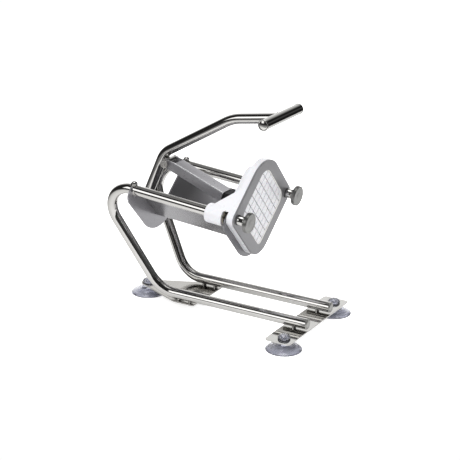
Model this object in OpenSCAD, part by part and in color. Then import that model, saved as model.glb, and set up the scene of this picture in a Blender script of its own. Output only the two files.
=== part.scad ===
// Lever-operated french fry cutter on a bent-tube stand with three suction cups.
// X runs forward, the way the fries leave; Y to the left side; Z up; the floor is z = 0.
// The rails, the trough, the cutting head and the lever share a frame tipped down at the front.

/* [Stand tubes] */
// Outside diameter of the stand, lever and handle tubes
tube_d = 16; // [12:0.5:25]
// Wall of the tubes
tube_wall = 2; // [1:0.1:3]
// Distance between the two base tubes, centre to centre
base_gap = 75.1; // [60:0.1:100]
// Front end of the base tubes
base_front_x = 157.6; // [120:0.1:200]
// Corner where each base tube turns up into its leg
heel_x = -96.2; // [-120:0.1:-70]
// Centreline radius of the bend at the heel
heel_bend_r = 49; // [35:1:60]
// Centreline radius of the bend at the top of each leg
top_bend_r = 39; // [30:1:50]
// Closing plug that stands out of each base tube end
plug_lip = 1.6; // [1:0.1:3]

/* [Rails] */
// Forward place of the dome nut on the rails
rail_x = -119.5; // [-140:0.1:-100]
// Height of the rail centreline at the dome nut
rail_z = 193.86; // [170:0.01:220]
// Downward tip of the rails towards the front
rail_tip = 4.5; // [0:0.1:10]
// How much further apart the two rails are than the corners of the trough's square
rail_gap = 21.618; // [18:0.001:40]
// Distance behind the dome nut of the corner between rail and leg
top_corner_s = 75.6; // [60:0.1:90]
// Distance from the dome nut to the front end of the rails
rail_len = 166; // [140:0.1:180]

/* [Base plates and cups] */
// Sheet of the two base plates
base_plate_t = 2; // [1.5:0.1:5]
// Height of the base plates above the floor
cup_h = 15; // [12:0.1:20]
// Height of the spacers between the plates and the tubes
spacer_h = 2; // [1:0.1:4]
// Front plate, front to back
front_plate_l = 41; // [30:0.5:60]
// Front plate, side to side
front_plate_w = 194; // [160:1:220]
// Middle of the front plate, behind the front ends of the tubes
front_plate_x = 18.4; // [16:0.1:30]
// Corner radius of the front plate
front_plate_r = 5; // [3:0.5:18]
// Middle of the front cups, in from the ends of the front plate
front_cup_y = 16.6; // [12:0.1:30]
// Middle of the front cups, forward of the middle of the front plate
front_cup_x = 3.3; // [0:0.1:6]
// Middle of the rear cup, behind the heel corner
rear_cup_x = 45.8; // [30:0.1:60]
// Radius of the rear plate round its cup
rear_lobe_r = 11; // [9:0.5:20]
// Half width of the rear plate under the tubes
rear_plate_half_w = 45; // [42:0.5:60]
// Where the rear plate reaches its full width, forward of the heel corner
rear_plate_x1 = 25.2; // [20:0.1:30]
// Front edge of the rear plate, forward of the heel corner
rear_plate_x2 = 63.2; // [55:0.1:90]
// Corner radius of the rear plate
rear_plate_r = 3; // [2:0.5:10]
// Diameter of the suction cups
cup_d = 54; // [44:1:65]
// Neck of a cup in its plate hole
cup_neck_d = 9; // [6:0.1:12]

/* [Trough and support plates] */
// Distance from the head axis to each inner wall of the trough
trough_half = 44.4; // [40:0.1:60]
// Sheet of the trough
trough_t = 1.5; // [1:0.1:3]
// Radius along the bottom of the trough, inside
trough_r = 6; // [3:0.5:12]
// Height of the trough's top edges under the head axis
trough_top = 9.3; // [5:0.1:20]
// Thickness of the two support plates
support_t = 2.5; // [1.5:0.1:4]
// Sloping flanks of the support plates, out from the walls of the trough
support_half = 28.8; // [24:0.1:34]
// Radius along the bottom of the support plates
support_bottom_r = 52; // [30:1:60]
// Radius of the ears round the rails
ear_r = 15.4; // [14:0.1:20]

/* [Cutting head] */
// Sides of the square head, out from the sides of the cutting opening
head_half = 19.5; // [17:0.1:26]
// Thickness of the plastic head plate
head_t = 10; // [8:0.1:16]
// Thickness of the steel clamp plate
clamp_t = 3; // [2:0.1:5]
// Corner radius of the head at its top corner
head_r_top = 47; // [20:1:55]
// Corner radius of the head at its bottom corner
head_r_bottom = 34; // [20:1:55]
// Corner radius of the head at its two knob corners
head_r_side = 12; // [6:0.5:20]
// Corner radius of the cutting opening at its top corner
opening_r_top = 19; // [7:0.5:22]
// Corner radius of the cutting opening at its bottom corner
opening_r_bottom = 8; // [7:0.5:22]
// Corner radius of the cutting opening at its two side corners
opening_r_side = 15; // [7:0.5:22]
// Radius of the bosses that hold the rails
boss_r = 14.4; // [12:0.1:18]
// Back end of the bosses, behind the head plate
boss_s1 = 37; // [30:0.5:50]
// Front end of the bosses, behind the head plate
boss_s2 = 8; // [6:0.5:14]

/* [Blades] */
// Cells along each side of the grid
cells = 7; // [5:1:9]
// Thickness of a blade
blade_t = 0.8; // [0.5:0.1:1.2]
// Depth of the blades, front to back
blade_w = 7; // [5:0.5:8]
// Width of the steel ring that holds the blades
blade_ring_w = 5.3; // [4:0.1:8]
// Depth of the ring
blade_ring_t = 8.2; // [7.5:0.1:10]

/* [Pusher] */
// Gap between a stud and the blades beside it
stud_gap = 0.4; // [0.2:0.05:0.8]
// Gap between the pusher plate and the trough
trough_gap = 0.4; // [0.3:0.05:0.8]
// Thickness of the stud plate
stud_plate_t = 8; // [5:0.5:12]
// Length of the studs
stud_l = 20; // [16:0.5:26]
// Half width of the black pusher block
block_half_w = 12; // [9:0.5:15]
// Top of the pusher block above the head axis
block_top = 8.1; // [5:0.1:12]
// Bottom of the pusher block below the head axis
block_bottom = 24; // [15:0.5:35]
// Back face of the pusher block, forward of the link's front pin
block_s = 12; // [11:0.5:18]
// Width of the tongue between the link's cheeks
tongue_w = 19; // [14:0.5:20]

/* [Push link] */
// Rear pin of the link, distance from the dome nut
rear_pin_s = 14; // [5:0.1:25]
// Rear pin of the link, height above the rail centreline
rear_pin_n = 28.5; // [20:0.1:40]
// Front pin of the link, distance from the dome nut
front_pin_s = 107; // [100:0.1:112]
// Front pin of the link, height above the rail centreline
front_pin_n = 2; // [-5:0.1:6]
// Diameter of the link pins
pin_d = 6; // [5:0.1:8]
// Outside width of the link channel
link_w = 24; // [20:0.5:30]
// Sheet of the link channel
link_t = 1.5; // [1:0.1:2.5]
// Height of the channel above its pin line
link_top = 8.7; // [8:0.1:12]
// Depth of the cheeks below the pin line
link_drop = 6.6; // [5:0.1:9]

/* [Lever] */
// Lever pivot, distance behind the dome nut
pivot_s = 29.2; // [20:0.1:40]
// Lever pivot, depth below the rail centreline
pivot_n = 58; // [45:0.1:65]
// Diameter of the lever pivot pin
pivot_d = 8; // [6:0.1:12]
// Width of the bush at the foot of the lever
pivot_bush_w = 18; // [14:0.5:22]
// First corner of the lever, forward and up from the dome nut
lever_p1 = [3.7, 41.4];
// Second corner of the lever
lever_p2 = [115.8, 120.4];
// Middle of the handle
handle_p = [194.06, 141.1];
// Where the lever's centreline meets the handle
lever_end = [194.06, 139.17];
// Centreline radius of the first lever bend
lever_bend_r1 = 38; // [25:1:60]
// Centreline radius of the second lever bend
lever_bend_r2 = 70; // [40:1:100]
// Length of the handle
handle_l = 104; // [80:1:140]

/* [Knobs] */
// Diameter of the knob discs
knob_d = 30; // [24:1:40]
// Thickness of the knob discs
knob_t = 6; // [4:0.5:10]
// Length of the knob stem in front of the clamp plate
knob_stem_l = 15; // [8:0.5:25]
// Diameter of the knob studs
knob_stud_d = 8; // [6:0.5:10]
// Thickness of the washers under the knob stems
washer_t = 1.2; // [0.8:0.1:2]

/* [Clearances] */
// Radial running clearance of a turning pin in its bore
run_gap = 0.05; // [0.01:0.01:0.1]
// Radial clearance of a fixed part in its hole
seat_gap = 0.1; // [0.05:0.01:0.3]
// Gap between faces that slide past each other
slide_gap = 0.5; // [0.3:0.05:1]

/* [Hidden] */
$fn = 64;
SQ = sqrt(2);
tube_r = tube_d / 2;
butt_gap = 0.01;
bore_r = tube_r - tube_wall;
base_y = base_gap / 2;
front_plate_at = base_front_x - front_plate_x;
front_cup_at = [front_plate_at + front_cup_x, front_plate_w / 2 - front_cup_y];
rear_plate_back = heel_x + rear_plate_x1;
rear_plate_front = heel_x + rear_plate_x2;
rear_cup_at = [heel_x - rear_cup_x, 0];
rail_y = trough_half * SQ + rail_gap / 2;
plate_top = cup_h + base_plate_t;
base_z = plate_top + spacer_h + tube_r;
rail_u = [cos(rail_tip), 0, -sin(rail_tip)];
rail_v = [sin(rail_tip), 0, cos(rail_tip)];
support_s2 = rail_len - support_t;
flank = trough_half + support_half;
head_side = trough_half + head_half;
head_s1 = rail_len;
boss_back = head_s1 - boss_s1;
boss_front = head_s1 - boss_s2;
head_s2 = rail_len + head_t;
clamp_s2 = head_s2 + clamp_t;
cell = (2 * trough_half - (cells - 1) * blade_t) / cells;
pitch = cell + blade_t;
stud_side = cell - 2 * stud_gap;
stud_front_s = clamp_s2 - 1;
stud_back_s = stud_front_s - stud_l;
flange_s2 = stud_back_s - stud_plate_t;
flange_t = 5;
flange_half = 28;
pin_r = pin_d / 2;
block_back = front_pin_s + block_s;
pin_rise = atan2(front_pin_n - rear_pin_n, front_pin_s - rear_pin_s);
pin_len = norm([front_pin_s - rear_pin_s, front_pin_n - rear_pin_n]);
pivot_r = pivot_d / 2;
pivot_bush_r = 9;
lug_t = 2;
lug_r = 8;
lug_below = 19;
lug_above = 6;
pin_play = 0.2;
pin_head_t = 1.8;
clip_t = 1.4;
lug_y = pivot_bush_w / 2 + slide_gap;
link_bush_r = 7.2;
link_bush_gap = 1;
link_bush_w = link_w - 2 * (link_t + link_bush_gap);
link_nose = 8.1;
link_chamfer = 3;
saddle_t = 1.6;
saddle_r = tube_r + saddle_t;
saddle_l = 9;
rail_stud_r = 2.4;
dome_nut_h = 5.4;
washer_r = 7.6;
knob_stud_r = knob_stud_d / 2;
knob_stem_r = 7.2;
knob_collar = 1.2;
plug_l = 10;
plug_edge = 1.2;
plug_dome = 3;
cap_l = 8;
end_nut_l = 16;
screw_r = 2;
spacer_r = 3.2;
steel = [0.78, 0.78, 0.78];
dark_steel = [0.55, 0.56, 0.58];
white = [0.95, 0.95, 0.96];
black = [0.08, 0.08, 0.09];
clear = [0.72, 0.76, 0.88];

// A point of the tipped frame given in the stand's own frame
function at_rail(s, y, v) = [rail_x, y, rail_z] + s * rail_u + v * rail_v;
function unit(a) = a / norm(a);
function bend_t(a, b, c, r) = r * tan(acos(unit(b - a) * unit(c - b)) / 2);
// Touching point of a line from p on a circle round c
function touch(p, c, r, side) =
    let(d = c - p, w = atan2(d[1], d[0]) + side * asin(r / norm(d)), l = sqrt(d * d - r * r))
    p + l * [cos(w), sin(w)];
function side_of(i) = i == 0 ? -1 : 1;

module in_rail() {
    translate([rail_x, 0, rail_z])
        rotate([0, rail_tip, 0])
            children();
}

// Stands a flat outline, drawn as (side, up), across the rails and thickens it forward
module across(s, t) {
    translate([s, 0, 0])
        rotate([90, 0, 90])
            linear_extrude(t)
                children();
}

// Turns a flat outline, drawn as (forward, up), into a sheet from y to y + t
module along(y, t) {
    translate([0, y + t, 0])
        rotate([90, 0, 0])
            linear_extrude(t)
                children();
}

// A round bar along Y
module cross_bar(s, n, y1, y2, r) {
    translate([s, y1, n])
        rotate([-90, 0, 0])
            cylinder(h = y2 - y1, r = r);
}

// A round bar along the rails
module rail_bar(s1, s2, y, n, r) {
    translate([s1, y, n])
        rotate([0, 90, 0])
            cylinder(h = s2 - s1, r = r);
}

// Square standing on a corner, with its own radii at the top, the bottom and the two sides
module diamond(half, r_top, r_bottom, r_side) {
    a = half - r_top;
    c = half - r_bottom;
    b = half - r_side;
    rotate(45) {
        polygon([[half, a], [a, half], [-b, half], [-half, b], [-half, -c], [-c, -half], [b, -half], [half, -b]]);
        translate([a, a])
            circle(r_top);
        translate([-c, -c])
            circle(r_bottom);
        translate([-b, b])
            circle(r_side);
        translate([b, -b])
            circle(r_side);
    }
}

module placed(o, x, y, z) {
    multmatrix([[x[0], y[0], z[0], o[0]], [x[1], y[1], z[1], o[1]], [x[2], y[2], z[2], o[2]], [0, 0, 0, 1]])
        children();
}

// Straight length of tube from a to b, or of bar where the bore is 0, a hair short at both ends
module straight_piece(a, b, r, bore) {
    z = unit(b - a);
    x = unit(cross(abs(z[1]) > 0.9 ? [1, 0, 0] : [0, 1, 0], z));
    placed(a + butt_gap * z, x, cross(z, x), z)
        linear_extrude(norm(b - a) - 2 * butt_gap)
            ring(r, bore);
}

// Bend from the line a-b into the line b-c
module bend_piece(a, b, c, bend_r, r, bore) {
    din = unit(b - a);
    axis = unit(cross(din, c - b));
    inward = cross(axis, din);
    start = b - bend_t(a, b, c, bend_r) * din;
    placed(start + bend_r * inward, -inward, din, axis)
        rotate_extrude(angle = acos(din * unit(c - b)))
            translate([bend_r, 0])
                ring(r, bore);
}

module ring(r, bore) {
    difference() {
        circle(r);
        if (bore > 0)
            circle(bore);
    }
}

// The pieces of a bent tube with two corners: first straight, middle, last straight
module tube_first(p, r1) {
    straight_piece(p[0], p[1] - bend_t(p[0], p[1], p[2], r1) * unit(p[1] - p[0]), tube_r, bore_r);
}

module tube_middle(p, r1, r2) {
    d = unit(p[2] - p[1]);
    bend_piece(p[0], p[1], p[2], r1, tube_r, bore_r);
    straight_piece(p[1] + bend_t(p[0], p[1], p[2], r1) * d, p[2] - bend_t(p[1], p[2], p[3], r2) * d,
                   tube_r, bore_r);
    bend_piece(p[1], p[2], p[3], r2, tube_r, bore_r);
}

module tube_last(p, r2) {
    straight_piece(p[2] + bend_t(p[1], p[2], p[3], r2) * unit(p[3] - p[2]), p[3], tube_r, bore_r);
}

front_screw_back = 21.6;
rear_screw_edge = 9;
front_screw_x = base_front_x - front_screw_back;
rear_screw_x = [rear_plate_back + rear_screw_edge, rear_plate_front - rear_screw_edge];
screw_x = concat([front_screw_x], rear_screw_x);

module frame_tube(side) {
    p = [[base_front_x, side * base_y, base_z], [heel_x, side * base_y, base_z],
         at_rail(-top_corner_s, side * rail_y, 0), at_rail(rail_len, side * rail_y, 0)];
    color(steel)
        union() {
            difference() {
                tube_first(p, heel_bend_r);
                for (x = screw_x)
                    translate([x, side * base_y, base_z - tube_r - 1])
                        cylinder(h = tube_wall + 2, r = screw_r + seat_gap);
            }
            tube_middle(p, heel_bend_r, top_bend_r);
            difference() {
                tube_last(p, top_bend_r);
                in_rail()
                    translate([0, side * rail_y, -tube_r - 2])
                        cylinder(h = tube_d + 4, r = rail_stud_r + seat_gap);
            }
        }
}

module frame_tube_right() {
    frame_tube(-1);
}

module frame_tube_left() {
    frame_tube(1);
}

module base_end_plugs() {
    color(steel)
        for (i = [0, 1])
            translate([base_front_x, side_of(i) * base_y, base_z])
                rotate([0, 90, 0])
                    rotate_extrude() {
                        translate([0, -plug_l])
                            square([bore_r - seat_gap, plug_l]);
                        polygon([[0, 0], [tube_r, 0], [tube_r, plug_lip * 0.4],
                                 [tube_r - plug_edge, plug_lip * 0.85], [tube_r - plug_dome, plug_lip],
                                 [0, plug_lip]]);
                    }
}

module plate_holes(cup_xy) {
    for (c = cup_xy)
        translate([c[0], c[1], cup_h - 1])
            cylinder(h = base_plate_t + 2, r = cup_neck_d / 2 + seat_gap);
}

module screw_holes(xs) {
    for (x = xs, i = [0, 1])
        translate([x, side_of(i) * base_y, cup_h - 1])
            cylinder(h = base_plate_t + 2, r = screw_r + seat_gap);
}

module front_cross_plate() {
    l = front_plate_l / 2 - front_plate_r;
    w = front_plate_w / 2 - front_plate_r;
    color(steel)
        difference() {
            translate([front_plate_at, 0, cup_h])
                linear_extrude(base_plate_t) {
                    square([front_plate_l, 2 * w], center = true);
                    square([2 * l, front_plate_w], center = true);
                    for (i = [0, 1], j = [0, 1])
                        translate([side_of(i) * l, side_of(j) * w])
                            circle(front_plate_r);
                }
            plate_holes([[front_cup_at[0], -front_cup_at[1]], front_cup_at]);
            screw_holes([front_screw_x]);
        }
}

module rear_base_plate() {
    w = rear_plate_half_w - rear_plate_r;
    c1 = [rear_plate_back + rear_plate_r, w];
    c0 = rear_cup_at;
    // The slanted edge touches the lobe and the corner circle, so its normal follows from the two radii
    q = c1 - c0;
    turn = atan2(q[1], q[0]) + acos((rear_lobe_r - rear_plate_r) / norm(q));
    nrm = [cos(turn), sin(turn)];
    k0 = c0 + rear_lobe_r * nrm;
    k1 = c1 + rear_plate_r * nrm;
    xf = rear_plate_front;
    color(dark_steel)
        difference() {
            translate([0, 0, cup_h])
                linear_extrude(base_plate_t) {
                    polygon([[k0[0], -k0[1]], [k1[0], -k1[1]], [c1[0], -rear_plate_half_w],
                             [xf - rear_plate_r, -rear_plate_half_w], [xf, -w], [xf, w],
                             [xf - rear_plate_r, rear_plate_half_w], [c1[0], rear_plate_half_w], k1, k0]);
                    translate(c0)
                        circle(rear_lobe_r);
                    for (i = [0, 1]) {
                        translate([c1[0], side_of(i) * w])
                            circle(rear_plate_r);
                        translate([xf - rear_plate_r, side_of(i) * w])
                            circle(rear_plate_r);
                    }
                }
            plate_holes([c0]);
            screw_holes(rear_screw_x);
        }
}

module tube_spacers() {
    color(steel)
        for (x = screw_x, i = [0, 1])
            difference() {
                translate([x, side_of(i) * base_y, plate_top])
                    cylinder(h = spacer_h + 1, r = spacer_r);
                translate([x, side_of(i) * base_y, plate_top - 1])
                    cylinder(h = spacer_h + 3, r = screw_r + seat_gap);
                translate([x - tube_r, side_of(i) * base_y, base_z])
                    rotate([0, 90, 0])
                        cylinder(h = tube_d, r = tube_r + run_gap);
            }
}

module base_screws() {
    head_h = 2.2;
    color(steel)
        for (x = screw_x, i = [0, 1])
            translate([x, side_of(i) * base_y, 0]) {
                translate([0, 0, cup_h - head_h])
                    cylinder(h = head_h, r = 4);
                translate([0, 0, cup_h - 0.5])
                    cylinder(h = base_z - tube_r + tube_wall + 2 - cup_h + 0.5, r = screw_r);
            }
}

module suction_cup(x, y) {
    r = cup_d / 2;
    neck = cup_neck_d / 2;
    color(clear)
        translate([x, y, 0])
            rotate_extrude()
                polygon([[r - 4, 0], [r, 0], [r, 1], [r - 1.6, 2.4], [r - 6, 4.6], [r - 11, 7], [r - 15, 9.2],
                         [10, 11], [9, 12.6], [8.6, cup_h], [neck, cup_h], [neck, plate_top],
                         [9.2, plate_top], [9.4, plate_top + 1.6], [8.8, plate_top + 3.6],
                         [6.8, plate_top + 5.6], [3.4, plate_top + 6.7], [0, plate_top + 7],
                         [0, 8.4], [5, 8], [r - 15.5, 5.8], [r - 7.5, 2.6]]);
}

module suction_cup_front_right() {
    suction_cup(front_cup_at[0], -front_cup_at[1]);
}

module suction_cup_front_left() {
    suction_cup(front_cup_at[0], front_cup_at[1]);
}

module suction_cup_rear() {
    suction_cup(rear_cup_at[0], rear_cup_at[1]);
}

// Flat pressing that joins the two rails under the trough, drawn as (side, up)
module support_outline(saddle_hole) {
    c_low = -(flank - support_bottom_r) * SQ;
    k = support_bottom_r / SQ;
    ear_v = rail_y - (flank - ear_r) * SQ;
    e = ear_r / SQ;
    difference() {
        union() {
            polygon([[-k, c_low - k], [k, c_low - k], [rail_y + e, ear_v - e], [rail_y, ear_v],
                     [rail_y - ear_r * 0.96, -trough_top], [-rail_y + ear_r * 0.96, -trough_top],
                     [-rail_y, ear_v], [-rail_y - e, ear_v - e]]);
            translate([0, c_low])
                circle(support_bottom_r);
            for (i = [0, 1])
                translate([side_of(i) * rail_y, ear_v])
                    circle(ear_r);
        }
        diamond(trough_half, trough_r, trough_r, trough_r);
        // The ears stay open over the rails
        translate([-2 * rail_y, tube_r])
            square([4 * rail_y, tube_d]);
        for (i = [0, 1])
            translate([side_of(i) * rail_y, 0]) {
                circle(tube_r + seat_gap);
                intersection() {
                    circle(saddle_hole);
                    translate([-2 * saddle_hole, -2 * saddle_hole])
                        square([4 * saddle_hole, 2 * saddle_hole]);
                }
            }
    }
}

module rear_support_plate() {
    color(dark_steel)
        in_rail()
            across(-support_t / 2, support_t)
                support_outline(saddle_r + seat_gap);
}

module front_support_plate() {
    color(dark_steel)
        in_rail()
            across(support_s2, support_t)
                support_outline(tube_r + seat_gap);
}

// Half rings under the rails that carry the studs, welded into the rear support plate
module rail_saddles() {
    color(steel)
        in_rail()
            for (i = [0, 1])
                difference() {
                    rail_bar(-saddle_l / 2, saddle_l / 2, side_of(i) * rail_y, 0, saddle_r);
                    rail_bar(-saddle_l, saddle_l, side_of(i) * rail_y, 0, tube_r + seat_gap);
                    translate([-saddle_l, side_of(i) * rail_y - 2 * saddle_r, 0])
                        cube([2 * saddle_l, 4 * saddle_r, 2 * saddle_r]);
                    translate([0, side_of(i) * rail_y, -2 * saddle_r])
                        cylinder(h = 2 * saddle_r, r = rail_stud_r + run_gap);
                }
}

module rail_studs() {
    color(steel)
        in_rail()
            for (i = [0, 1])
                translate([0, side_of(i) * rail_y, -saddle_r])
                    cylinder(h = saddle_r + tube_r + seat_gap + dome_nut_h - 1.6, r = rail_stud_r);
}

module dome_nuts() {
    hex_h = 2.2;
    color(steel)
        in_rail()
            for (i = [0, 1])
                translate([0, side_of(i) * rail_y, tube_r + seat_gap])
                    difference() {
                        union() {
                            cylinder(h = hex_h, r = 5.3, $fn = 6);
                            translate([0, 0, hex_h - 0.2])
                                rotate_extrude()
                                    polygon([[0, 0], [4.5, 0], [4.5, 0.8], [4.2, 1.6], [3.4, 2.4], [2.2, 3.1],
                                             [1, 3.4], [0, 3.4]]);
                        }
                        translate([0, 0, -1])
                            cylinder(h = dome_nut_h - 0.5, r = rail_stud_r + run_gap);
                    }
}

module v_trough() {
    outer = trough_half + trough_t;
    color(dark_steel)
        in_rail()
            across(support_t / 2, support_s2 - support_t / 2)
                difference() {
                    diamond(outer, trough_r + trough_t, trough_r + trough_t, trough_r + trough_t);
                    diamond(trough_half, trough_r, trough_r, trough_r);
                    translate([-2 * outer, -trough_top])
                        square([4 * outer, 3 * outer]);
                }
}

module pivot_lugs() {
    c = [-pivot_s, -pivot_n];
    root_s = -support_t / 2;
    lo = [root_s, -pivot_n - lug_below];
    hi = [root_s, -pivot_n + lug_above];
    color(dark_steel)
        in_rail()
            for (y = [lug_y, -lug_y - lug_t])
                along(y, lug_t)
                    difference() {
                        union() {
                            circle_at(c, lug_r);
                            polygon([lo, hi, touch(hi, c, lug_r, -1), touch(lo, c, lug_r, 1)]);
                        }
                        circle_at(c, pivot_r + seat_gap);
                    }
}

module circle_at(c, r) {
    translate(c)
        circle(r);
}

module pivot_pin() {
    y1 = lug_y + lug_t + pin_play;
    color(steel)
        in_rail() {
            cross_bar(-pivot_s, -pivot_n, -y1, y1 + clip_t + 0.8, pivot_r);
            cross_bar(-pivot_s, -pivot_n, -y1 - pin_head_t, -y1, pivot_r + 2);
        }
}

module pivot_clips() {
    y1 = lug_y + lug_t + pin_play;
    color(dark_steel)
        in_rail()
            difference() {
                cross_bar(-pivot_s, -pivot_n, y1, y1 + clip_t, pivot_r + 2.6);
                cross_bar(-pivot_s, -pivot_n, y1 - 1, y1 + 3, pivot_r + run_gap);
            }
}

boss_n = -1;
boss_edge = 3;
flare_top = 36.2;
pad_wall = [8.5, 7.6];
pad_rim = 0.4;
cap_gap = 4.6;

// The cutting opening, made larger all round by grow
module opening_outline(grow) {
    diamond(trough_half + grow, opening_r_top + grow, opening_r_bottom + grow, opening_r_side + grow);
}

// Plastic plate of the cutting head with the two bosses and the flares that join them to it
module head_block() {
    color(white)
        in_rail()
            difference() {
                union() {
                    across(head_s1, head_t)
                        diamond(head_side, head_r_top, head_r_bottom, head_r_side);
                    for (i = [0, 1]) {
                        boss_body(side_of(i));
                        boss_flare(side_of(i));
                    }
                }
                across(head_s1 - 1, head_t + 2)
                    opening_outline(0);
                across(head_s2 - blade_ring_t, blade_ring_t + 1)
                    opening_outline(blade_ring_w + seat_gap);
                for (i = [0, 1]) {
                    rail_bar(boss_back - 1, head_s1, side_of(i) * rail_y, 0, tube_r + seat_gap);
                    rail_bar(head_s1 - 1, head_s2 + 1, side_of(i) * rail_y, 0, knob_stud_r + 2 * seat_gap);
                }
            }
}

module boss_body(side) {
    l = boss_s1 - boss_s2;
    translate([boss_back, side * rail_y, boss_n])
        rotate([0, 90, 0])
            rotate_extrude() {
                square([boss_r - boss_edge, l]);
                translate([0, boss_edge])
                    square([boss_r, l - boss_edge]);
                translate([boss_r - boss_edge, boss_edge])
                    circle(boss_edge);
            }
}

module boss_flare(side) {
    pad_t = 1;
    cap_back = 8;
    low_v = 10.4;
    // The web meets the head plate on a pad between the plate's edge and the pocket of the blades
    edge_y = head_side * SQ - low_v - pad_rim;
    top = [head_side * SQ - flare_top - pad_rim, flare_top];
    inner = top - pad_wall;
    low_y = rail_y - tube_r - cap_gap;
    difference() {
        hull() {
            translate([boss_back + cap_back, side * rail_y, boss_n])
                rotate([0, 90, 0])
                    cylinder(h = boss_s1 - boss_s2 - cap_back, r = boss_r, $fn = 32);
            across(head_s1 - pad_t, pad_t)
                polygon([[side * edge_y, low_v], [side * top[0], top[1]], [side * inner[0], inner[1]],
                         [side * low_y, low_v]]);
        }
        translate([boss_front, -2 * rail_y, -2 * rail_y])
            cube([boss_s2 + 1, 4 * rail_y, 2 * rail_y + low_v]);
    }
}

module front_clamp_plate() {
    color(dark_steel)
        in_rail()
            across(head_s2, clamp_t)
                difference() {
                    diamond(head_side, head_r_top, head_r_bottom, head_r_side);
                    opening_outline(0);
                    for (i = [0, 1])
                        translate([side_of(i) * rail_y, 0])
                            circle(knob_stud_r + 2 * seat_gap);
                }
}

blade_l = 2 * (trough_half + blade_ring_w) - 2;

// Bars of the grid as boxes, seen square on to the grid's own sides
module grid_bars(s, t, w, l) {
    for (k = [1 : cells - 1])
        translate([s, -l / 2, -trough_half + k * pitch - blade_t / 2 - w / 2])
            cube([t, l, w]);
}

module grid_cuts(s, t, w, l) {
    for (k = [1 : cells - 1])
        translate([s, -l / 2, -trough_half + k * pitch - blade_t / 2 - w / 2])
            cube([t, l, w]);
}

module blade_ring() {
    slot_s = head_s2 - blade_w - seat_gap;
    color(steel)
        in_rail()
            difference() {
                across(head_s2 - blade_ring_t, blade_ring_t)
                    difference() {
                        opening_outline(blade_ring_w);
                        opening_outline(0);
                    }
                for (a = [45, -45])
                    rotate([a, 0, 0])
                        grid_cuts(slot_s, blade_w + 1, blade_t + seat_gap, blade_l + 1);
            }
}

module blade_set(a, cut_s) {
    rotate([a, 0, 0])
        grid_bars(head_s2 - blade_w, blade_w, blade_t, blade_l);
}

module blades_across() {
    color(steel)
        in_rail()
            difference() {
                blade_set(45, 0);
                rotate([-45, 0, 0])
                    grid_cuts(head_s2 - blade_w - 1, blade_w / 2 + 1 + run_gap, blade_t + seat_gap, 2 * blade_l);
            }
}

module blades_down() {
    color(steel)
        in_rail()
            difference() {
                blade_set(-45, 0);
                rotate([45, 0, 0])
                    grid_cuts(head_s2 - blade_w / 2, blade_w, blade_t + seat_gap, 2 * blade_l);
            }
}

module rail_end_nuts() {
    color(steel)
        in_rail()
            for (i = [0, 1])
                difference() {
                    rail_bar(rail_len - end_nut_l, rail_len, side_of(i) * rail_y, 0, bore_r - run_gap);
                    rail_bar(rail_len - end_nut_l - 1, rail_len + 1, side_of(i) * rail_y, 0, knob_stud_r + run_gap);
                }
}

module knob_washers() {
    color(black)
        in_rail()
            for (i = [0, 1])
                difference() {
                    rail_bar(clamp_s2, clamp_s2 + washer_t, side_of(i) * rail_y, 0, washer_r);
                    rail_bar(clamp_s2 - 1, clamp_s2 + washer_t + 1, side_of(i) * rail_y, 0, knob_stud_r + seat_gap);
                }
}

module knob_disc(side) {
    r = knob_d / 2;
    s1 = clamp_s2 + knob_stem_l;
    color(dark_steel)
        in_rail()
            translate([s1, side * rail_y, 0])
                rotate([0, 90, 0])
                    rotate_extrude()
                        polygon([[0, 0], [r - 1, 0], [r, 1], [r, knob_t - 1], [r - 1, knob_t], [0, knob_t]]);
}

// Shouldered stem and its stud, turned from one bar
module knob_stud(side) {
    l = knob_stem_l;
    e = end_nut_l - 3;
    color(steel)
        in_rail()
            translate([clamp_s2, side * rail_y, 0])
                rotate([0, 90, 0])
                    rotate_extrude()
                        polygon([[0, -clamp_t - head_t - e], [knob_stud_r, -clamp_t - head_t - e],
                                 [knob_stud_r, washer_t], [knob_stem_r, washer_t], [knob_stem_r, l * 0.66],
                                 [knob_stem_r - knob_collar, l * 0.7], [knob_stem_r - knob_collar, l * 0.76],
                                 [knob_stem_r + knob_collar, l * 0.8], [knob_stem_r + knob_collar, l * 0.92],
                                 [knob_stem_r, l], [0, l]]);
}

module knob_disc_right() {
    knob_disc(-1);
}

module knob_stud_right() {
    knob_stud(-1);
}

module knob_disc_left() {
    knob_disc(1);
}

module knob_stud_left() {
    knob_stud(1);
}

lever_path = [[-pivot_s, 0, -pivot_n], [lever_p1[0], 0, lever_p1[1]], [lever_p2[0], 0, lever_p2[1]],
              [lever_end[0], 0, lever_end[1]]];

module lever_tube() {
    color(steel)
        in_rail()
            union() {
                difference() {
                    tube_first(lever_path, lever_bend_r1);
                    cross_bar(-pivot_s, -pivot_n, -tube_d, tube_d, pivot_bush_r + run_gap);
                }
                tube_middle(lever_path, lever_bend_r1, lever_bend_r2);
                difference() {
                    tube_last(lever_path, lever_bend_r2);
                    cross_bar(handle_p[0], handle_p[1], -tube_d, tube_d, tube_r + run_gap);
                }
            }
}

module lever_pivot_bush() {
    color(steel)
        in_rail()
            difference() {
                cross_bar(-pivot_s, -pivot_n, -pivot_bush_w / 2, pivot_bush_w / 2, pivot_bush_r);
                cross_bar(-pivot_s, -pivot_n, -pivot_bush_w, pivot_bush_w, pivot_r + run_gap);
            }
}

module link_bush() {
    color(steel)
        in_rail()
            difference() {
                cross_bar(rear_pin_s, rear_pin_n, -link_bush_w / 2, link_bush_w / 2, link_bush_r);
                cross_bar(rear_pin_s, rear_pin_n, -link_bush_w, link_bush_w, pin_r + run_gap);
                straight_piece(lever_path[0], lever_path[1], tube_r + seat_gap, 0);
                bend_piece(lever_path[0], lever_path[1], lever_path[2], lever_bend_r1, tube_r + seat_gap, 0);
            }
}

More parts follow.
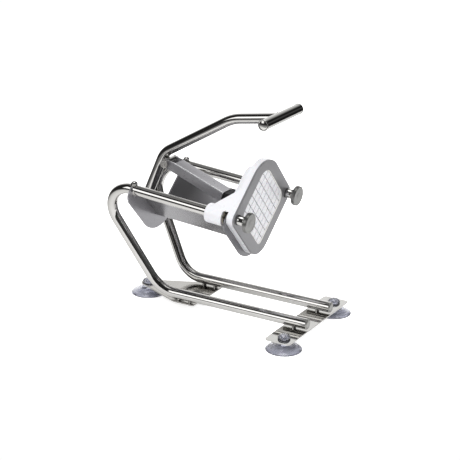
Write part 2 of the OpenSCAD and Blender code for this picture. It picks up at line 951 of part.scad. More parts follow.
module handle_tube() {
    color(steel)
        in_rail()
            difference() {
                cross_bar(handle_p[0], handle_p[1], -handle_l / 2, handle_l / 2, tube_r);
                cross_bar(handle_p[0], handle_p[1], -handle_l, handle_l, bore_r);
            }
}

module handle_end_caps() {
    color(steel)
        in_rail()
            for (i = [0, 1])
                translate([handle_p[0], side_of(i) * handle_l / 2, handle_p[1]])
                    rotate([-90 * side_of(i), 0, 0])
                        rotate_extrude() {
                            translate([0, -cap_l])
                                square([bore_r - seat_gap, cap_l + 0.1]);
                            polygon([[0, 0], [tube_r + 0.5, 0], [tube_r + 0.5, 0.8], [tube_r - 0.8, 2.1],
                                     [tube_r - 3, 2.8], [0, 3]]);
                        }
}

// Frame of the link: origin on the rear pin, forward along the pin line
module in_link() {
    in_rail()
        translate([rear_pin_s, 0, rear_pin_n])
            rotate([0, -pin_rise, 0])
                children();
}

link_web_x1 = 15;
link_web_x2 = pin_len + link_nose;

module push_link() {
    color(dark_steel)
        in_link() {
            for (y = [link_w / 2 - link_t, -link_w / 2])
                along(y, link_t)
                    difference() {
                        union() {
                            circle(link_drop);
                            polygon([[0, -link_drop], [link_web_x2 - link_chamfer, -link_drop],
                                     [link_web_x2, link_chamfer - link_drop], [link_web_x2, link_top],
                                     [link_web_x1, link_top], [0, link_drop]]);
                        }
                        circle(pin_r + seat_gap);
                    }
            translate([link_web_x1, -link_w / 2, link_top - link_t])
                cube([link_web_x2 - link_web_x1, link_w, link_t]);
        }
}

// Cross pin welded between the cheeks, which pushes in the pusher's open notch
module link_front_pin() {
    color(steel)
        in_link()
            cross_bar(pin_len, 0, -link_w / 2 + link_t, link_w / 2 - link_t, pin_r);
}

link_bolt_y = link_w / 2;
link_head_r = 6.9;
link_head_h = 5;

module link_bolt() {
    color(steel)
        in_link() {
            cross_bar(0, 0, -link_bolt_y - 0.5, link_bolt_y + link_head_h + 1, pin_r);
            translate([0, -link_bolt_y, 0])
                rotate([90, 0, 0])
                    cylinder(h = link_head_h, r = link_head_r, $fn = 6);
        }
}

module link_nut() {
    color(steel)
        in_link()
            translate([0, link_bolt_y, 0])
                rotate([-90, 0, 0])
                    difference() {
                        cylinder(h = link_head_h, r = link_head_r, $fn = 6);
                        translate([0, 0, -1])
                            cylinder(h = link_head_h + 2, r = pin_r + run_gap);
                    }
}

notch_gap = 0.4;

module pusher_block() {
    tongue_r = 6;
    notch_r = pin_r + notch_gap;
    c = [front_pin_s, front_pin_n];
    color(black)
        in_rail()
            difference() {
                union() {
                    translate([block_back, -block_half_w, -block_bottom])
                        cube([flange_s2 - block_back, 2 * block_half_w, block_top + block_bottom]);
                    across(flange_s2 - flange_t, flange_t)
                        diamond(flange_half, opening_r_side, opening_r_side, opening_r_side);
                    along(-tongue_w / 2, tongue_w) {
                        circle_at(c, tongue_r);
                        polygon([c + [0, -tongue_r], [block_back + 1, front_pin_n - tongue_r],
                                 [block_back + 1, front_pin_n + tongue_r - 2], c + [0, tongue_r - 2]]);
                    }
                }
                // Open notch: the pin drops in from above and lifts a little in mid stroke
                along(-tube_d, 2 * tube_d) {
                    circle_at(c, notch_r);
                    polygon([c + [-notch_r, 0], c + [notch_r + 0.3, 0], c + [notch_r + 0.3, 8], c + [-notch_r - 2.8, 8]]);
                }
                for (q = screw_spots)
                    rail_bar(flange_s2 - flange_t - 1, flange_s2 + 1, q[0], q[1], screw_r + seat_gap);
            }
}

screw_bite = 5.5;
pan_h = 2;
pan_r = 3.8;
screw_spots = [[0, 22], [0, -28.5], [-22, -4], [22, -4]];

module stud_matrix() {
    color(white)
        in_rail()
            difference() {
                union() {
                    across(flange_s2, stud_plate_t)
                        opening_outline(-trough_gap);
                    across(stud_back_s - 0.5, stud_l + 0.5)
                        intersection() {
                            rotate(45)
                                for (i = [0 : cells - 1], j = [0 : cells - 1])
                                    translate([(i - (cells - 1) / 2) * pitch, (j - (cells - 1) / 2) * pitch])
                                        square(stud_side, center = true);
                            opening_outline(-trough_gap);
                        }
                }
                for (q = screw_spots)
                    rail_bar(flange_s2 - 1, flange_s2 + screw_bite + 0.5, q[0], q[1], screw_r + seat_gap);
            }
}

module pusher_screws() {
    s0 = flange_s2 - flange_t;
    color(steel)
        in_rail()
            for (q = screw_spots) {
                rail_bar(s0 - 0.5, flange_s2 + screw_bite, q[0], q[1], screw_r);
                rail_bar(s0 - pan_h, s0, q[0], q[1], pan_r);
            }
}

frame_tube_right();
frame_tube_left();
base_end_plugs();
front_cross_plate();
rear_base_plate();
tube_spacers();
base_screws();
suction_cup_front_right();
suction_cup_front_left();
suction_cup_rear();
rear_support_plate();
front_support_plate();
rail_saddles();
rail_studs();
dome_nuts();
v_trough();
pivot_lugs();
pivot_pin();
pivot_clips();
head_block();
front_clamp_plate();
knob_washers();
blade_ring();
blades_across();
blades_down();
rail_end_nuts();
knob_disc_right();
knob_stud_right();
knob_disc_left();
knob_stud_left();
lever_tube();
lever_pivot_bush();
link_bush();
handle_tube();
handle_end_caps();
push_link();
link_front_pin();
link_bolt();
link_nut();
pusher_block();
stud_matrix();
pusher_screws();
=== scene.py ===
from math import acos, cos, pi, radians, sin, tan

import bmesh
import bpy
from mathutils import Matrix, Vector


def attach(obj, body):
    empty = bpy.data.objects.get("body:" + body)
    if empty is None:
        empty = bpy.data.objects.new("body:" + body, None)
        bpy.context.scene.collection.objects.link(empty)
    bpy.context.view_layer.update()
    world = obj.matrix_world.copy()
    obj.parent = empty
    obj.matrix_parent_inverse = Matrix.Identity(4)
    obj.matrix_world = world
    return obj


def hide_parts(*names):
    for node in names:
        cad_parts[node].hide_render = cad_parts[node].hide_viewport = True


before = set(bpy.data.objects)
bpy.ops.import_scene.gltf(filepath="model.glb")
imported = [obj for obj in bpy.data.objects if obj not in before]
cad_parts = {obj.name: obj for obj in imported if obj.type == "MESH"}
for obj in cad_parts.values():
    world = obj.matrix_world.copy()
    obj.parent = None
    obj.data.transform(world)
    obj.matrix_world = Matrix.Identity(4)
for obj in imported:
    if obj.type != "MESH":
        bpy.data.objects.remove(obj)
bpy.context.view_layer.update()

# ---------------------------------------------------------------------------------------------
# Camera: a long lens that looks down on the cutter from its front right corner. The picture is
# 460 by 460, so one focal length holds for both sides.
PICTURE_PX = 460
FOCAL_PX = 1494.13
SENSOR_MM = 36
VIEW_END = 40
CAMERA_PLACE = Vector((1.05247, -1.83183, 0.88772))
CAMERA_RIGHT = Vector((0.864925, 0.501651, 0.015836))
CAMERA_UP = Vector((-0.182106, 0.284264, 0.941292))
camera_data = bpy.data.cameras.new("camera")
camera_data.sensor_width = SENSOR_MM
camera_data.lens = FOCAL_PX * SENSOR_MM / PICTURE_PX
camera_data.clip_end = VIEW_END
camera = bpy.data.objects.new("camera", camera_data)
bpy.context.scene.collection.objects.link(camera)
camera_turn = Matrix((CAMERA_RIGHT, CAMERA_UP, CAMERA_RIGHT.cross(CAMERA_UP))).transposed()
camera.matrix_world = Matrix.Translation(CAMERA_PLACE) @ camera_turn.to_4x4()
bpy.context.scene.camera = camera

# ---------------------------------------------------------------------------------------------
# Floor: a long pale sheet of card. It ends a quarter to half a metre from the cutter's front,
# rear and right side and runs far out to its left, so the polished tubes show its edges as dark
# lines. In their reflections it carries a painted shade that greys it towards the rear.
FLOOR_RIGHT_Y = -0.5
FLOOR_LEFT_Y = 4.0
FLOOR_REAR_X = -0.62
FLOOR_FRONT_X = 0.42
# Where the card's painted shade starts and is full, and its grey. Only mirrored rays see it.
MIRROR_SHADE_START_X = -0.10
MIRROR_SHADE_END_X = -0.50
MIRRORED_FLOOR_SHADE = (0.55, 0.55, 0.54, 1)
CARD_GLOW = 0.7
NOISE_LOW = 0.3
NOISE_HIGH = 0.7


def new_material(name):
    """A fresh material with its nodes, its links and its shader."""
    material = bpy.data.materials.new(name)
    material.use_nodes = True
    nodes = material.node_tree.nodes
    return material, nodes, material.node_tree.links, nodes["Principled BSDF"]


def object_noise(nodes, links, scale, detail=2.0, stretch=(1, 1, 1)):
    """Mottling that is fixed to the piece and can be drawn out along an axis."""
    place = nodes.new("ShaderNodeTexCoord")
    mapping = nodes.new("ShaderNodeMapping")
    mapping.inputs["Scale"].default_value = stretch
    noise = nodes.new("ShaderNodeTexNoise")
    noise.inputs["Scale"].default_value = scale
    noise.inputs["Detail"].default_value = detail
    links.new(place.outputs["Object"], mapping.inputs["Vector"])
    links.new(mapping.outputs["Vector"], noise.inputs["Vector"])
    return noise


def spread(nodes, links, source, low, high, target):
    """Lets a noise vary a socket between two values."""
    span = nodes.new("ShaderNodeMapRange")
    span.inputs["From Min"].default_value = NOISE_LOW
    span.inputs["From Max"].default_value = NOISE_HIGH
    span.inputs["To Min"].default_value = low
    span.inputs["To Max"].default_value = high
    links.new(source.outputs[0], span.inputs["Value"])
    links.new(span.outputs["Result"], target)


def tint(nodes, links, source, dark, light, target):
    """Mixes two colours by a source and feeds them to a colour socket."""
    mix = nodes.new("ShaderNodeMix")
    mix.data_type = "RGBA"
    mix.inputs["A"].default_value = (*dark, 1)
    mix.inputs["B"].default_value = (*light, 1)
    links.new(source.outputs[0], mix.inputs["Factor"])
    links.new(mix.outputs["Result"], target)


def relief(nodes, links, source, height, target):
    """Roughens the surface by a noise, to a height in metres."""
    bump = nodes.new("ShaderNodeBump")
    bump.inputs["Distance"].default_value = height
    bump.inputs["Strength"].default_value = 1.0
    links.new(source.outputs[0], bump.inputs["Height"])
    links.new(bump.outputs["Normal"], target)


def object_from(bm, name, material, smooth_angle=35):
    """The finished piece, smooth but for edges sharper than an angle in degrees."""
    mesh = bpy.data.meshes.new(name)
    bm.to_mesh(mesh)
    bm.free()
    mesh.polygons.foreach_set("use_smooth", [True] * len(mesh.polygons))
    mesh.set_sharp_from_angle(angle=radians(smooth_angle))
    mesh.materials.append(material)
    piece = bpy.data.objects.new(name, mesh)
    bpy.context.scene.collection.objects.link(piece)
    return piece


pale_card, nodes, links, shader = new_material("pale_floor")
tint(nodes, links, object_noise(nodes, links, 3), (0.93, 0.93, 0.93), (0.95, 0.95, 0.95),
     shader.inputs["Base Color"])
shader.inputs["Roughness"].default_value = 0.9
shader.inputs["Specular IOR Level"].default_value = 0.1
shader.inputs["Emission Color"].default_value = (1, 1, 1, 1)
ray = nodes.new("ShaderNodeLightPath")
card_place = nodes.new("ShaderNodeTexCoord")
card_axes = nodes.new("ShaderNodeSeparateXYZ")
links.new(card_place.outputs["Object"], card_axes.inputs["Vector"])
# Painted shade: towards the rear, glossy rays see the card turn grey.
shade_to_the_rear = nodes.new("ShaderNodeMapRange")
shade_to_the_rear.inputs["From Min"].default_value = MIRROR_SHADE_START_X
shade_to_the_rear.inputs["From Max"].default_value = MIRROR_SHADE_END_X
links.new(card_axes.outputs["X"], shade_to_the_rear.inputs["Value"])
in_mirrors = nodes.new("ShaderNodeMath")
in_mirrors.operation = "MULTIPLY"
links.new(shade_to_the_rear.outputs["Result"], in_mirrors.inputs[0])
links.new(ray.outputs["Is Glossy Ray"], in_mirrors.inputs[1])
mirror_shaded = nodes.new("ShaderNodeMix")
mirror_shaded.data_type = "RGBA"
links.new(in_mirrors.outputs[0], mirror_shaded.inputs["Factor"])
links.new(shader.inputs["Base Color"].links[0].from_socket, mirror_shaded.inputs["A"])
mirror_shaded.inputs["B"].default_value = MIRRORED_FLOOR_SHADE
links.new(mirror_shaded.outputs["Result"], shader.inputs["Base Color"])
glow = nodes.new("ShaderNodeMath")
glow.operation = "MULTIPLY"
glow.inputs[1].default_value = CARD_GLOW
links.new(ray.outputs["Is Camera Ray"], glow.inputs[0])
links.new(glow.outputs[0], shader.inputs["Emission Strength"])
bm = bmesh.new()
bm.faces.new([bm.verts.new((x, y, 0)) for x, y in (
    (FLOOR_REAR_X, FLOOR_RIGHT_Y), (FLOOR_FRONT_X, FLOOR_RIGHT_Y),
    (FLOOR_FRONT_X, FLOOR_LEFT_Y), (FLOOR_REAR_X, FLOOR_LEFT_Y))])
floor = object_from(bm, "floor", pale_card)

# ---------------------------------------------------------------------------------------------
# Studio: the polished tubes mirror a dark room with a soft box, a bright wall behind the cutter
# and a lamp in the ceiling, which draw their long bands. All else sees an even white room, and
# two broad lamps give a soft light from above.
ROOM_DARK = 0.022
ROOM_WHITE = 1.04
LIGHT_AIM = Vector((0, 0, 0.1))
world = bpy.data.worlds.new("studio")
bpy.context.scene.world = world
world.use_nodes = True
nodes, links = world.node_tree.nodes, world.node_tree.links
nodes.clear()
direction = nodes.new("ShaderNodeTexCoord")
slope = nodes.new("ShaderNodeSeparateXYZ")
links.new(direction.outputs["Generated"], slope.inputs["Vector"])
level = nodes.new("ShaderNodeVectorMath")
level.operation = "MULTIPLY"
links.new(direction.outputs["Generated"], level.inputs[0])
level.inputs[1].default_value = (1, 1, 0)
heading = nodes.new("ShaderNodeVectorMath")
heading.operation = "NORMALIZE"
links.new(level.outputs[0], heading.inputs[0])


def room_math(operation, a, b):
    """One sum or product of the room's brightness, from sockets or plain numbers."""
    node = nodes.new("ShaderNodeMath")
    node.operation = operation
    for socket, value in zip(node.inputs, (a, b)):
        if isinstance(value, (int, float)):
            socket.default_value = value
        else:
            links.new(value, socket)
    return node.outputs[0]


def room_step(value, low, high):
    """A soft edge: 0 below low, 1 above high."""
    node = nodes.new("ShaderNodeMapRange")
    node.interpolation_type = "SMOOTHSTEP"
    links.new(value, node.inputs["Value"])
    node.inputs["From Min"].default_value = low
    node.inputs["From Max"].default_value = high
    return node.outputs["Result"]


def ceiling_glow(edge, full, brightness):
    """A glow overhead that starts at one height in degrees and is full at another."""
    overhead = room_step(slope.outputs["Z"], sin(radians(edge)), sin(radians(full)))
    return room_math("MULTIPLY", overhead, brightness)


def soft_panel(azimuth, half_width, side_blur, low, low_blur, high, high_blur, brightness):
    """A glowing panel of the room between two heights in degrees, round one azimuth."""
    towards = nodes.new("ShaderNodeVectorMath")
    towards.operation = "DOT_PRODUCT"
    links.new(heading.outputs[0], towards.inputs[0])
    towards.inputs[1].default_value = (cos(radians(azimuth)), sin(radians(azimuth)), 0)
    across = room_step(towards.outputs["Value"], cos(radians(half_width + side_blur)),
                       cos(radians(half_width)))
    above = room_step(slope.outputs["Z"], sin(radians(low - low_blur)), sin(radians(low)))
    below = room_step(slope.outputs["Z"], sin(radians(high + high_blur)), sin(radians(high)))
    return room_math("MULTIPLY", room_math("MULTIPLY", across, above),
                     room_math("MULTIPLY", below, brightness))


soft_box = soft_panel(azimuth=-123, half_width=12, side_blur=6, low=12, low_blur=3,
                      high=36, high_blur=4, brightness=1.8)
bright_wall = soft_panel(azimuth=125, half_width=12, side_blur=38, low=-60, low_blur=10,
                         high=14, high_blur=62, brightness=1.25)
front_wall = soft_panel(azimuth=10, half_width=30, side_blur=30, low=6, low_blur=6,
                        high=24, high_blur=8, brightness=0.06)
wall_lamp = soft_panel(azimuth=61, half_width=7, side_blur=5, low=7, low_blur=3,
                       high=14, high_blur=4, brightness=0.08)
near_ground = soft_panel(azimuth=-130, half_width=70, side_blur=30, low=-70, low_blur=5,
                         high=-24, high_blur=22, brightness=0.35)
pale_ceiling = ceiling_glow(edge=54, full=72, brightness=0.3)
ceiling_lamp = ceiling_glow(edge=70, full=79, brightness=2.6)
mirrored_room = ROOM_DARK
for part in (soft_box, bright_wall, front_wall, wall_lamp, near_ground, pale_ceiling, ceiling_lamp):
    mirrored_room = room_math("ADD", mirrored_room, part)
ray = nodes.new("ShaderNodeLightPath")
sees_white = room_math("MAXIMUM", ray.outputs["Is Camera Ray"], ray.outputs["Is Diffuse Ray"])
sees_white = room_math("MAXIMUM", sees_white, ray.outputs["Is Transmission Ray"])
room_choice = nodes.new("ShaderNodeMix")
room_choice.data_type = "FLOAT"
links.new(sees_white, room_choice.inputs["Factor"])
links.new(mirrored_room, room_choice.inputs["A"])
room_choice.inputs["B"].default_value = ROOM_WHITE
background = nodes.new("ShaderNodeBackground")
links.new(room_choice.outputs["Result"], background.inputs["Strength"])
background.inputs["Color"].default_value = (1, 1, 1, 1)
output = nodes.new("ShaderNodeOutputWorld")
links.new(background.outputs[0], output.inputs["Surface"])
bpy.context.scene.view_settings.view_transform = "Standard"


def soft_light(name, place, width, watts):
    """A broad square lamp that no polished tube mirrors."""
    data = bpy.data.lights.new(name, "AREA")
    data.shape = "SQUARE"
    data.size = width
    data.energy = watts
    lamp = bpy.data.objects.new(name, data)
    bpy.context.scene.collection.objects.link(lamp)
    turn = (LIGHT_AIM - place).to_track_quat("-Z", "Y")
    lamp.matrix_world = Matrix.Translation(place) @ turn.to_matrix().to_4x4()
    lamp.visible_glossy = False


soft_light("key_light", Vector((0.6, -1.6, 2.6)), width=1.6, watts=18)
soft_light("top_light", Vector((-0.4, 0.8, 3.0)), width=2.5, watts=13)

# ---------------------------------------------------------------------------------------------
# Stand tubes: two 16 mm stainless tubes with 2 mm walls, each bent twice from one length into
# base, leg and rail, then polished bright.
MM = 0.001
TUBE_R = 8 * MM
TUBE_BORE_R = 6 * MM
TUBE_SIDES = 64
BEND_STEPS = 24
BASE_Y = 37.55 * MM
BASE_Z = 27 * MM
BASE_FRONT_X = 157.6 * MM
HEEL_X = -96.2 * MM
RAIL_Y = 73.6 * MM
RAIL_LEN = 166 * MM
TOP_CORNER_S = 75.6 * MM
HEEL_BEND_R = 49 * MM
TOP_BEND_R = 39 * MM
RAIL_ZERO = Vector((-119.5 * MM, 0, 193.86 * MM))
RAIL_TILT = radians(4.5)
rail_frame = Matrix.Translation(RAIL_ZERO) @ Matrix.Rotation(RAIL_TILT, 4, "Y")
FINE_GRAIN = 0.001 * MM


def on_rails(along, side, up):
    """A place given along, beside and above the line midway between the two rails."""
    return rail_frame @ Vector((along, side, up))


def steel_finish(name, dark, light, rough, grain, stretch=(1, 1, 1), depth=FINE_GRAIN, metal=1.0):
    """Steel with two tones, a range of roughness, and a grain of a scale, direction and depth."""
    material, nodes, links, shader = new_material(name)
    shader.inputs["Metallic"].default_value = metal
    tint(nodes, links, object_noise(nodes, links, 30, 3), dark, light, shader.inputs["Base Color"])
    spread(nodes, links, object_noise(nodes, links, grain, 4, stretch), *rough,
           shader.inputs["Roughness"])
    relief(nodes, links, object_noise(nodes, links, grain * 2, 3, stretch), depth,
           shader.inputs["Normal"])
    return material


def pull_tube(bm, edges, reach):
    """Pulls a tube's end circles on by a straight length and returns the new ones."""
    grown = bmesh.ops.extrude_edge_only(bm, edges=edges)["geom"]
    fresh = [item for item in grown if isinstance(item, bmesh.types.BMVert)]
    bmesh.ops.translate(bm, vec=reach, verts=fresh)
    return [item for item in grown
            if isinstance(item, bmesh.types.BMEdge) and all(vert in fresh for vert in item.verts)]


def bent_tube(name, points, bend_radii, material):
    """A tube along straight lines joined by bends, open at both ends."""
    bm = bmesh.new()
    forward = (points[1] - points[0]).normalized()
    at = Matrix.Translation(points[0]) @ forward.to_track_quat("Z", "Y").to_matrix().to_4x4()
    for radius in (TUBE_R, TUBE_BORE_R):
        bmesh.ops.create_circle(bm, segments=TUBE_SIDES, radius=radius, matrix=at)
    first_end = bm.edges[:]
    edges = first_end
    here = points[0]
    for corner, after, bend_r in zip(points[1:], points[2:], bend_radii):
        onward = (after - corner).normalized()
        turn = acos(forward.dot(onward))
        bend_start = corner - forward * bend_r * tan(turn / 2)
        edges = pull_tube(bm, edges, bend_start - here)
        axis = forward.cross(onward).normalized()
        centre = bend_start + axis.cross(forward) * bend_r
        ends = bmesh.ops.spin(bm, geom=edges, cent=centre, axis=axis, dvec=(0, 0, 0), angle=turn,
                              steps=BEND_STEPS, use_merge=False, use_duplicate=False)["geom_last"]
        edges = [item for item in ends if isinstance(item, bmesh.types.BMEdge)]
        here = corner + onward * bend_r * tan(turn / 2)
        forward = onward
    last_end = pull_tube(bm, edges, points[-1] - here)
    for circles in (first_end, last_end):
        bmesh.ops.bridge_loops(bm, edges=circles)
    bmesh.ops.recalc_face_normals(bm, faces=bm.faces)
    return object_from(bm, name, material)


polished_tube = steel_finish("polished_tube_steel", dark=(0.60, 0.59, 0.57), light=(0.65, 0.64, 0.625),
                             rough=(0.03, 0.07), grain=90)
for side, name in ((-1, "stand_tube_right"), (1, "stand_tube_left")):
    route = [Vector((BASE_FRONT_X, side * BASE_Y, BASE_Z)), Vector((HEEL_X, side * BASE_Y, BASE_Z)),
             on_rails(-TOP_CORNER_S, side * RAIL_Y, 0), on_rails(RAIL_LEN, side * RAIL_Y, 0)]
    tube = bent_tube(name, route, (HEEL_BEND_R, TOP_BEND_R), polished_tube)
    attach(tube, "stand")
    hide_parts("frame_tube_right" if side < 0 else "frame_tube_left")

# ---------------------------------------------------------------------------------------------
# Base tube plugs: turned steel plugs that are pressed into the front ends of the base tubes. The
# lip of each covers the tube's end, and its face is dished between the lip and a low dome. The
# sizes of turned profiles, here and in later sections, are plain millimetres.
PRESS_GAP = 0.1
PLUG_R = TUBE_BORE_R / MM - PRESS_GAP
PLUG_DEPTH = 10
PLUG_LIP_R = TUBE_R / MM
PLUG_LIP_EDGE = 0.8
PLUG_DOME_H = 1.6
SEAM_GAP = 0.0001 * MM


def lathe(name, profile, place, material, sides=64, smooth_angle=35):
    """Spins a profile of (radius, height) points in mm round the Z axis of place."""
    bm = bmesh.new()
    line = [bm.verts.new((radius * MM, 0, height * MM)) for radius, height in profile]
    edges = [bm.edges.new(pair) for pair in zip(line, line[1:])]
    bmesh.ops.spin(bm, geom=line + edges, cent=(0, 0, 0), axis=(0, 0, 1), dvec=(0, 0, 0),
                   angle=2 * pi, steps=sides, use_merge=True, use_duplicate=False)
    bmesh.ops.remove_doubles(bm, verts=bm.verts, dist=SEAM_GAP)
    bmesh.ops.recalc_face_normals(bm, faces=bm.faces)
    bmesh.ops.transform(bm, matrix=place, verts=bm.verts)
    return object_from(bm, name, material, smooth_angle)


def arc(centre_r, centre_h, radius, start, stop, count):
    """Points of an arc for a lathe profile, with angles in degrees from straight outward."""
    angles = [radians(start + (stop - start) * i / count) for i in range(count + 1)]
    return [(centre_r + radius * cos(angle), centre_h + radius * sin(angle)) for angle in angles]


turned_end = steel_finish("turned_end_steel", dark=(0.26, 0.26, 0.25), light=(0.46, 0.455, 0.44),
                          rough=(0.24, 0.4), grain=300, depth=0.02 * MM)
facing_front = Matrix.Rotation(radians(90), 4, "Y")
plug_profile = (
    [(0, -PLUG_DEPTH), (PLUG_R, -PLUG_DEPTH), (PLUG_R, 0), (PLUG_LIP_R, 0)]
    + arc(PLUG_LIP_R - PLUG_LIP_EDGE, 0, PLUG_LIP_EDGE, 10, 80, 4)
    + [(6.7, 0.7), (6.4, 0.2), (6.1, 0.3), (5.8, 1.0), (5.2, 1.35), (3.4, 1.5), (0, PLUG_DOME_H)])
for side, name in ((-1, "base_plug_right"), (1, "base_plug_left")):
    seat = Matrix.Translation((BASE_FRONT_X, side * BASE_Y, BASE_Z)) @ facing_front
    plug = lathe(name, plug_profile, seat, turned_end)
    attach(plug, "stand")
    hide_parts("base_end_plugs")

# ---------------------------------------------------------------------------------------------
# Base plates: 2.5 mm stainless sheet, cut, deburred and polished. The front one is a mirror; the
# rear one, under the heel, is left a little duller.
BASE_SHEET_EDGE_R = 0.35 * MM
LOOSE_GAP = 0.002 * MM
FLAT_ANGLE = radians(0.5)
SHARP_ANGLE = radians(40)
mirror_sheet = steel_finish("mirror_sheet_steel", dark=(0.50, 0.495, 0.475), light=(0.58, 0.575, 0.56),
                            rough=(0.05, 0.09), grain=60)
dull_sheet = steel_finish("dull_sheet_steel", dark=(0.39, 0.38, 0.36), light=(0.46, 0.45, 0.43),
                          rough=(0.11, 0.16), grain=90)


def sharp_edges(bm):
    return [edge for edge in bm.edges
            if len(edge.link_faces) == 2 and edge.calc_face_angle() > SHARP_ANGLE]


def rounded_copy(node, name, edge_r, material, segments=3, broad_r=0, is_broad=None):
    """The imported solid's shape with its loose triangles joined and its edges rolled over. The edges
    that is_broad picks get the radius broad_r and the piece's second material."""
    bm = bmesh.new()
    bm.from_mesh(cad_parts[node].data)
    bmesh.ops.remove_doubles(bm, verts=bm.verts, dist=LOOSE_GAP)
    bmesh.ops.dissolve_limit(bm, angle_limit=FLAT_ANGLE, verts=bm.verts, edges=bm.edges)
    if is_broad:
        broad = [edge for edge in sharp_edges(bm) if edge.is_convex and is_broad(edge)]
        bmesh.ops.bevel(bm, geom=broad, offset=broad_r, segments=6, profile=0.5, affect="EDGES",
                        material=1)
    bmesh.ops.bevel(bm, geom=sharp_edges(bm), offset=edge_r, segments=segments, profile=0.5,
                    affect="EDGES", clamp_overlap=True, material=-1)
    bmesh.ops.recalc_face_normals(bm, faces=bm.faces)
    piece = object_from(bm, name, material)
    flat = piece.modifiers.new("flat_faces", "WEIGHTED_NORMAL")
    flat.keep_sharp = True
    return piece


for node, name, material, slot in (
        ("front_cross_plate", "front_base_sheet", mirror_sheet, "mirror_plate"),
        ("rear_base_plate", "rear_base_sheet", dull_sheet, "satin_steel")):
    plate = rounded_copy(node, name, BASE_SHEET_EDGE_R, material)
    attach(plate, "stand")
    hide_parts(node)

# ---------------------------------------------------------------------------------------------
# Base screws and spacers: M4 pan screws come up through the plates and short spacers into the
# tubes. Little of them shows.
small_steel = steel_finish("small_turned_steel", dark=(0.70, 0.69, 0.67), light=(0.80, 0.79, 0.78),
                           rough=(0.12, 0.22), grain=200)


def finish_node(node, material):
    """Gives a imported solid, which keeps its shape, its finish."""
    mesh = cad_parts[node].data
    mesh.materials.clear()
    mesh.materials.append(material)


for node in ("base_screws", "tube_spacers"):
    finish_node(node, small_steel)

# ---------------------------------------------------------------------------------------------
# Suction cups: clear soft vinyl mouldings. A mushroom head is pushed up through the plate, and a
# thin bell with two shallow ridges below it ends in a rounded rim on the worktop.
CUP_FRONT_X = 142.5 * MM
CUP_FRONT_Y = 80.4 * MM
CUP_REAR_X = -142 * MM
CUP_BORE_R = 4.5
CUP_H = 15
PLATE_TOP = 17
CUP_RIM_R = 26.99
CUP_RIM_EDGE = 0.8
CUP_HEAD_TOP = 24
clear_vinyl, nodes, links, shader = new_material("clear_vinyl")
tint(nodes, links, object_noise(nodes, links, 40, 2), (0.66, 0.67, 0.77), (0.78, 0.79, 0.88),
     shader.inputs["Base Color"])
spread(nodes, links, object_noise(nodes, links, 70, 2), 0.03, 0.09, shader.inputs["Roughness"])
relief(nodes, links, object_noise(nodes, links, 60, 2), 0.4 * MM, shader.inputs["Normal"])
shader.inputs["Transmission Weight"].default_value = 0.86
shader.inputs["IOR"].default_value = 1.45
shader.inputs["Coat Weight"].default_value = 1.0
shader.inputs["Coat Roughness"].default_value = 0.06
shader.inputs["Coat IOR"].default_value = 1.6
hollow = [(0, 8.4), (5, 8), (11.5, 5.8), (19.5, 2.6), (23.2, 0.4)]
rim = arc(CUP_RIM_R - CUP_RIM_EDGE, CUP_RIM_EDGE, CUP_RIM_EDGE, -90, 50, 5)
outer_ridge = [(25.5, 2.3), (24.2, 2.9), (23.5, 3.8), (22.5, 4.3), (21.5, 4.1), (20.2, 4.8), (18.4, 5.7)]
inner_ridge = [(17, 6.5), (16.4, 7.3), (15.4, 7.8), (14.4, 7.6), (13.8, 8.0), (12, 9.1)]
neck = [(10.8, 10.1), (10, 11), (9.4, 11.9), (9, 12.8), (8.75, 13.9), (8.6, 14.6), (8.2, CUP_H)]
plate_groove = [(CUP_BORE_R, CUP_H), (CUP_BORE_R, PLATE_TOP)]
mushroom_head = [(8.8, PLATE_TOP), (9.25, 17.4), (9.4, 18.3), (9.3, 19.4), (8.8, 20.6), (8, 21.6),
                 (6.8, 22.6), (5.2, 23.3), (3.4, 23.7), (1.7, 23.95), (0, CUP_HEAD_TOP)]
cup_profile = hollow + rim + outer_ridge + inner_ridge + neck + plate_groove + mushroom_head
for node, x, y in (("suction_cup_front_right", CUP_FRONT_X, -CUP_FRONT_Y),
                   ("suction_cup_front_left", CUP_FRONT_X, CUP_FRONT_Y),
                   ("suction_cup_rear", CUP_REAR_X, 0)):
    cup = lathe(node + "_vinyl", cup_profile, Matrix.Translation((x, y, 0)), clear_vinyl,
                sides=96, smooth_angle=50)
    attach(cup, "stand")
    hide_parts(node)

# ---------------------------------------------------------------------------------------------
# Support plates: two 2.5 mm steel pressings with ears that hold the rails. The trough is welded
# between them. Their faces are satin ground; the front one's is a darker copy, a painted shade.
SUPPORT_EDGE_R = 0.4 * MM
SATIN_STRETCH = (1, 1, 6)
satin_sheet = steel_finish("satin_sheet_steel", dark=(0.30, 0.295, 0.313), light=(0.35, 0.345, 0.363),
                           rough=(0.27, 0.31), grain=220, stretch=SATIN_STRETCH, metal=0.62)
# A darker copy of the satin for the front pressing: painted shade.
shaded_satin_sheet = steel_finish("satin_sheet_steel_painted_shade", dark=(0.18, 0.177, 0.188),
                                light=(0.21, 0.207, 0.218), rough=(0.27, 0.31), grain=220,
                                stretch=SATIN_STRETCH, metal=0.62)
for node, name, finish in (("rear_support_plate", "rear_support_pressing", satin_sheet),
                           ("front_support_plate", "front_support_pressing", shaded_satin_sheet)):
    plate = rounded_copy(node, name, SUPPORT_EDGE_R, finish)
    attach(plate, "stand")
    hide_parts(node)

